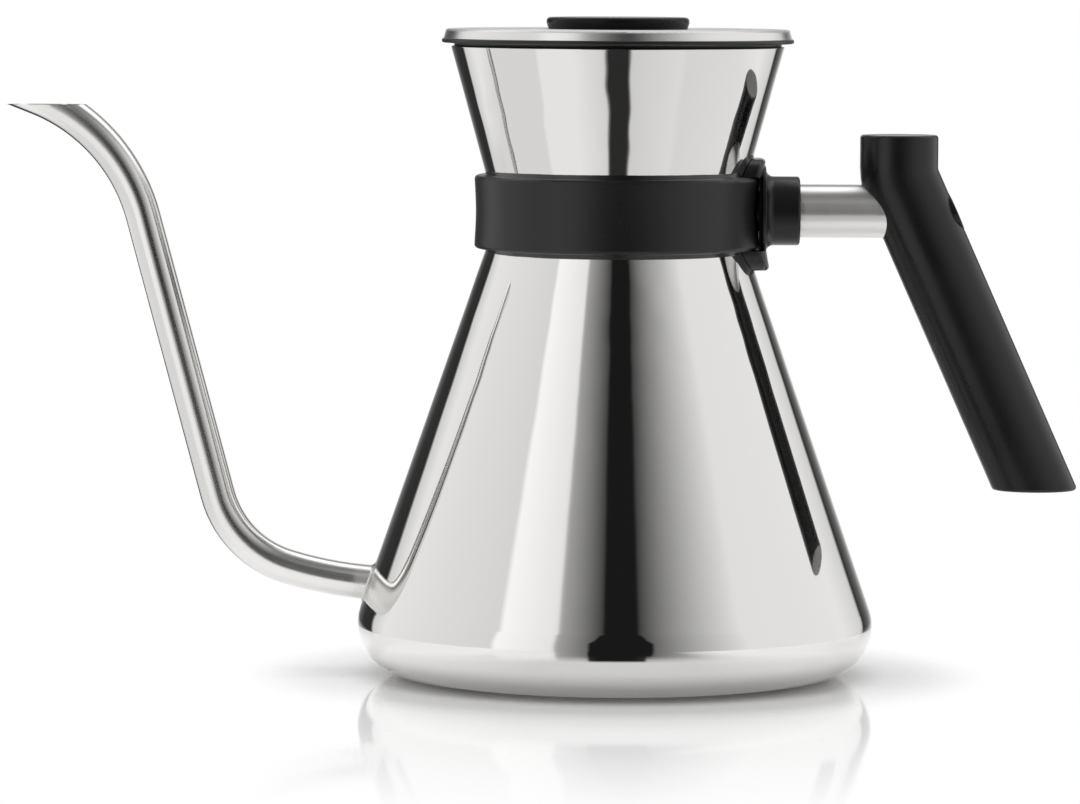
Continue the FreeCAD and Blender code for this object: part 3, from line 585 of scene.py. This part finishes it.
def studio_walls():
    """Light from walls, ceiling and a black flag round the kettle."""
    material = bpy.data.materials.new("studio_walls")
    material.use_nodes = True
    # Every ray finds the walls by itself, so a rough face sees the same room as a smooth one
    material.cycles.emission_sampling = "NONE"
    tree = material.node_tree
    tree.nodes.clear()
    place = add(tree, "NewGeometry").outputs["Position"]
    from_middle = add(tree, "VectorMath", {0: place, 1: ROOM_MIDDLE}, operation="SUBTRACT")
    unit = add(tree, "VectorMath", {0: from_middle.outputs[0]}, operation="NORMALIZE")
    # Up and down, places on the walls are given as the sine of their angle above the horizon
    aim = add(tree, "SeparateXYZ", {0: unit.outputs[0]}).outputs
    forward = add(tree, "Math", {0: aim["Y"], 1: -1}, operation="MULTIPLY").outputs[0]
    bearing = add(tree, "Math", {0: aim["X"], 1: forward}, operation="ARCTAN2").outputs[0]
    over_top = add(tree, "Math", {0: aim["Z"], 1: forward}, operation="ARCTAN2").outputs[0]
    above = ring_of_light(tree, bearing, WALLS_ABOVE)
    below = ring_of_light(tree, bearing, WALLS_BELOW)
    roof = ring_of_light(tree, over_top, CEILING)
    # The walls darken upwards, and the floor far below is white
    dusk = add(tree, "MapRange", {0: aim["Z"], 1: 0.58, 2: 0.85, 3: 1, 4: 0.5})
    dimmed = {0: 1, 6: above, 7: dusk.outputs[0]}
    upper = add(tree, "Mix", dimmed, data_type="RGBA", blend_type="MULTIPLY")
    pit = add(tree, "MapRange", {0: aim["Z"], 1: -0.75, 2: -0.62, 3: 1, 4: 0})
    lower = add(tree, "Mix", {0: pit.outputs[0], 6: below, 7: FAR_FLOOR_WHITE}, data_type="RGBA")
    lift = add(tree, "MapRange", {0: aim["Z"], 1: -0.24, 2: -0.18})
    both = {0: lift.outputs[0], 6: lower.outputs[2], 7: upper.outputs[2]}
    walls = add(tree, "Mix", both, data_type="RGBA")
    # The flag spreads towards its foot
    sideways = add(tree, "Math", {0: bearing, 1: math.radians(-2)})
    off_flag = add(tree, "Math", {0: sideways.outputs[0]}, operation="ABSOLUTE")
    widths = {3: math.radians(13), 4: math.radians(6.5)}
    spread = add(tree, "MapRange", {0: aim["Z"], 1: 0.08, 2: 0.36, **widths})
    past = add(tree, "Math", {0: off_flag.outputs[0], 1: spread.outputs[0]}, operation="SUBTRACT")
    beyond = add(tree, "MapRange", {0: past.outputs[0], 1: 0, 2: math.radians(1.5), 3: 1, 4: 0})
    low = add(tree, "MapRange", {0: aim["Z"], 1: -0.22, 2: -0.19})
    foot = add(tree, "Math", {0: beyond.outputs[0], 1: low.outputs[0]}, operation="MULTIPLY")
    flagged = {0: foot.outputs[0], 6: walls.outputs[2], 7: FLAG_BLACK}
    walls = add(tree, "Mix", flagged, data_type="RGBA")
    # On the spout's side, the flag and the dark beside it end about 40 degrees up
    topped = add(tree, "MapRange", {0: aim["Z"], 1: 0.6, 2: 0.67})
    leftward = add(tree, "MapRange", {0: bearing, 1: math.radians(-2), 2: math.radians(3), 3: 1, 4: 0})
    over_flag = add(tree, "Math", {0: topped.outputs[0], 1: leftward.outputs[0]}, operation="MULTIPLY")
    pale = {0: over_flag.outputs[0], 6: walls.outputs[2], 7: OVER_FLAG_GREY}
    walls = add(tree, "Mix", pale, data_type="RGBA", blend_type="LIGHTEN")
    # The ceiling comes down to 20 degrees above the horizon at the back and stays above 65 in front
    slant = add(tree, "Math", {0: aim["Y"], 1: 0.4, 2: aim["Z"]}, operation="MULTIPLY_ADD")
    high = add(tree, "MapRange", {0: slant.outputs[0], 1: 0.68, 2: 0.78})
    room = add(tree, "Mix", {0: high.outputs[0], 6: walls.outputs[2], 7: roof}, data_type="RGBA")
    light = add(tree, "Emission", {"Color": room.outputs[2]})
    add(tree, "OutputMaterial", {"Surface": light.outputs[0]})
    return material


def white_surroundings(stage):
    """World that is white to the camera and to mirrors, and otherwise lights evenly."""
    world = bpy.data.worlds.new("white_surroundings")
    world.use_nodes = True
    tree = world.node_tree
    tree.nodes.clear()
    rays = add(tree, "LightPath").outputs
    bounced = {0: rays["Is Glossy Ray"], 1: rays["Is Transmission Ray"]}
    mirrored = add(tree, "Math", bounced, operation="MAXIMUM")
    seen = add(tree, "Math", {0: rays["Is Camera Ray"], 1: mirrored.outputs[0]}, operation="MAXIMUM")
    level = add(tree, "MapRange", {0: seen.outputs[0], 3: stage.room_light, 4: 1})
    ground = add(tree, "Background", {"Color": (1, 1, 1, 1), "Strength": level.outputs[0]})
    add(tree, "OutputWorld", {"Surface": ground.outputs[0]})
    return world


def white_table(stage):
    """Floor that is white to the camera, keeps the shadow close by and faintly mirrors the kettle."""
    material = bpy.data.materials.new("acrylic_white_table")
    material.use_nodes = True
    tree = material.node_tree
    tree.nodes.clear()
    rays = add(tree, "LightPath").outputs
    by_camera = rays["Is Camera Ray"]
    by_steel = rays["Is Glossy Ray"]
    place = add(tree, "NewGeometry").outputs["Position"]
    reach = add(tree, "VectorMath", {0: place}, operation="LENGTH").outputs["Value"]
    lit = add(tree, "BsdfDiffuse", {"Color": (0.9, 0.9, 0.9, 1)})
    spot = add(tree, "SeparateXYZ", {0: place}).outputs
    aside = add(tree, "Math", {0: spot["X"]}, operation="ABSOLUTE").outputs[0]
    # Steel sees the lit table a little brighter than the camera does, most of all beside the kettle
    open_glow = add(tree, "MapRange", {0: aside, 1: 30 * MM, 2: 85 * MM, 3: 0.08, 4: 0.38})
    glow = {0: reach, 1: 66 * MM, 2: 92 * MM, 3: 0.12, 4: open_glow.outputs[0]}
    glowing = add(tree, "MapRange", glow)
    mirrored = add(tree, "Math", {0: glowing.outputs[0], 1: by_steel}, operation="MULTIPLY")
    gleam = add(tree, "Emission", {"Strength": mirrored.outputs[0]})
    near = add(tree, "AddShader", {0: lit.outputs[0], 1: gleam.outputs[0]})
    # The camera sees plain white from 110 mm off the kettle's middle
    away = add(tree, "MapRange", {0: reach, 1: 73 * MM, 2: 110 * MM}, interpolation_type="SMOOTHSTEP")
    open_floor = add(tree, "Math", {0: away.outputs[0], 1: by_camera}, operation="MULTIPLY")
    bright = add(tree, "Emission", {"Strength": 1})
    top = add(tree, "MixShader", {0: open_floor.outputs[0], 1: near.outputs[0], 2: bright.outputs[0]})
    # It sees the kettle mirrored in front, fainter outwards and in the contact line
    fade = add(tree, "MapRange", {0: reach, 1: 60 * MM, 2: 285 * MM, 3: stage.floor_shine, 4: 0})
    contact = add(tree, "MapRange", {0: reach, 1: 62 * MM, 2: 88 * MM, 3: 0.3, 4: 1})
    near_shine = add(tree, "Math", {0: fade.outputs[0], 1: contact.outputs[0]}, operation="MULTIPLY")
    narrow = {0: aside, 1: 65 * MM, 2: 105 * MM, 3: 1, 4: 0}
    beside = add(tree, "MapRange", narrow, interpolation_type="SMOOTHSTEP")
    strength = add(tree, "Math", {0: near_shine.outputs[0], 1: beside.outputs[0]}, operation="MULTIPLY")
    watched = add(tree, "Math", {0: strength.outputs[0], 1: by_camera}, operation="MULTIPLY")
    # Where steel looks along the table in front of the kettle, it sees the walls again in it
    slanting = add(tree, "LayerWeight", {"Blend": 0.5}).outputs["Facing"]
    glance = add(tree, "MapRange", {0: slanting, 1: 0.5, 2: 0.72})
    in_front = add(tree, "MapRange", {0: aside, 1: 45 * MM, 2: 75 * MM, 3: 1, 4: 0})
    glancing = add(tree, "Math", {0: glance.outputs[0], 1: in_front.outputs[0]}, operation="MULTIPLY")
    again = add(tree, "Math", {0: glancing.outputs[0], 1: by_steel}, operation="MULTIPLY")
    shine = add(tree, "Math", {0: watched.outputs[0], 1: again.outputs[0]})
    mirror = add(tree, "BsdfGlossy", {"Color": (1, 1, 1, 1), "Roughness": 0.06})
    polished = add(tree, "MixShader", {0: shine.outputs[0], 1: top.outputs[0], 2: mirror.outputs[0]})
    # The flag's foot stands on the table from 100 mm in front of the middle, where only steel sees it
    foot_near = add(tree, "MapRange", {0: reach, 1: 96 * MM, 2: 102 * MM})
    foot_far = add(tree, "MapRange", {0: reach, 1: 150 * MM, 2: 200 * MM, 3: 1, 4: 0})
    foot_half = add(tree, "MapRange", {0: reach, 1: 74.5 * MM, 2: 200 * MM, 3: 8.3 * MM, 4: 36.1 * MM})
    outside = add(tree, "Math", {0: aside, 1: foot_half.outputs[0]}, operation="SUBTRACT")
    foot_side = add(tree, "MapRange", {0: outside.outputs[0], 1: -1 * MM, 2: 1 * MM, 3: 1, 4: 0})
    footing = add(tree, "Math", {0: foot_near.outputs[0], 1: foot_side.outputs[0]}, operation="MULTIPLY")
    standing = add(tree, "Math", {0: footing.outputs[0], 1: foot_far.outputs[0]}, operation="MULTIPLY")
    ahead = add(tree, "Math", {0: spot["Y"], 1: 0}, operation="LESS_THAN")
    flag_foot = add(tree, "Math", {0: standing.outputs[0], 1: ahead.outputs[0]}, operation="MULTIPLY")
    covered = add(tree, "Math", {0: flag_foot.outputs[0], 1: by_steel}, operation="MULTIPLY")
    black = add(tree, "Emission", {"Color": FLAG_BLACK})
    footed = add(tree, "MixShader", {0: covered.outputs[0], 1: polished.outputs[0], 2: black.outputs[0]})
    # For what the steel shows elsewhere, the table fades out to the walls farther off
    far_edge = add(tree, "MapRange", {0: reach, 1: 85 * MM, 2: 260 * MM}, interpolation_type="SMOOTHSTEP")
    steep = add(tree, "Math", {0: 1, 1: glancing.outputs[0]}, operation="SUBTRACT")
    passing = add(tree, "Math", {0: far_edge.outputs[0], 1: steep.outputs[0]}, operation="MULTIPLY")
    gone = add(tree, "Math", {0: passing.outputs[0], 1: by_steel}, operation="MULTIPLY")
    clear = add(tree, "BsdfTransparent")
    table = add(tree, "MixShader", {0: gone.outputs[0], 1: footed.outputs[0], 2: clear.outputs[0]})
    add(tree, "OutputMaterial", {"Surface": table.outputs[0]})
    return material


def stage_piece(name, mesh, material):
    """Put a mesh in the scene with its material."""
    piece = place_mesh(name, mesh)
    piece.data.materials.append(material)
    return piece


class KETTLE_OT_stage(bpy.types.Operator):
    """Set up the camera, the white table, the room and the light above"""

    bl_idname = "kettle.stage"
    bl_label = "Stage"

    def execute(self, context):
        scene = context.scene
        stage = scene.kettle_stage
        # What a new Blender file starts with makes room
        for thing in list(bpy.data.objects):
            if thing.type in {"CAMERA", "LIGHT"} or thing.name == "Cube":
                bpy.data.objects.remove(thing)

        lens = bpy.data.cameras.new("camera")
        lens.sensor_fit = "HORIZONTAL"
        lens.sensor_width = FILM_WIDTH_MM
        lens.lens = stage.lens
        lens.clip_start = 0.05
        lens.clip_end = 100
        camera = bpy.data.objects.new("camera", lens)
        scene.collection.objects.link(camera)
        camera.matrix_world = (
            Matrix.Translation(stage.camera_place)
            @ Matrix.Rotation(math.pi / 2 - stage.camera_dip, 4, "X")
            @ Matrix.Rotation(stage.camera_roll, 4, "Z")
        )
        scene.camera = camera

        floor = bmesh.new()
        bmesh.ops.create_circle(floor, cap_ends=True, segments=SIDES, radius=TABLE_RADIUS)
        table = stage_piece("table", floor, white_table(stage))
        table.location.z = -TABLE_DROP
        shell = bmesh.new()
        bmesh.ops.create_uvsphere(shell, u_segments=SIDES, v_segments=SIDES // 2, radius=ROOM_RADIUS)
        room = stage_piece("studio_walls", shell, studio_walls())
        room.location = ROOM_MIDDLE
        # Only mirrors see these walls. The world and the soft box give the light.
        room.visible_camera = False
        room.visible_diffuse = False
        room.visible_transmission = False
        room.visible_shadow = False

        box = bpy.data.lights.new("soft_box", "AREA")
        box.shape = "SQUARE"
        box.size = SOFT_BOX_SIZE
        box.energy = stage.overhead_light
        above = bpy.data.objects.new("soft_box", box)
        above.location = SOFT_BOX_PLACE
        # The ceiling stands in for the soft box in what the steel shows
        above.visible_glossy = False
        scene.collection.objects.link(above)

        scene.world = white_surroundings(stage)
        scene.view_settings.view_transform = "Standard"
        return {"FINISHED"}


class KETTLE_PT_sidebar(bpy.types.Panel):
    """Lists the kettle's settings and steps"""

    bl_idname = "KETTLE_PT_sidebar"
    bl_label = "Kettle"
    bl_space_type = "VIEW_3D"
    bl_region_type = "UI"
    bl_category = "Kettle"

    def draw(self, context):
        scene = context.scene
        for settings in (scene.kettle_colours, scene.kettle_weld, scene.kettle_stage):
            box = self.layout.box()
            for name in settings.__annotations__:
                box.prop(settings, name)
        for step in STEPS:
            self.layout.operator(step.bl_idname)


STEPS = (
    KETTLE_OT_stage, KETTLE_OT_vessel, KETTLE_OT_spout,
    KETTLE_OT_collar, KETTLE_OT_handle, KETTLE_OT_lid,
)
CLASSES = (KettleColours, KettleWeld, KettleStage, *STEPS, KETTLE_PT_sidebar)


def register():
    for kind in CLASSES:
        bpy.utils.register_class(kind)
    bpy.types.Scene.kettle_colours = PointerProperty(type=KettleColours)
    bpy.types.Scene.kettle_weld = PointerProperty(type=KettleWeld)
    bpy.types.Scene.kettle_stage = PointerProperty(type=KettleStage)


def unregister():
    del bpy.types.Scene.kettle_stage
    del bpy.types.Scene.kettle_weld
    del bpy.types.Scene.kettle_colours
    for kind in reversed(CLASSES):
        bpy.utils.unregister_class(kind)


def main():
    register()
    bpy.ops.kettle.stage()
    bpy.ops.kettle.vessel()
    bpy.ops.kettle.spout()
    bpy.ops.kettle.collar()
    bpy.ops.kettle.handle()
    bpy.ops.kettle.lid()


if __name__ == "__main__":
    main()
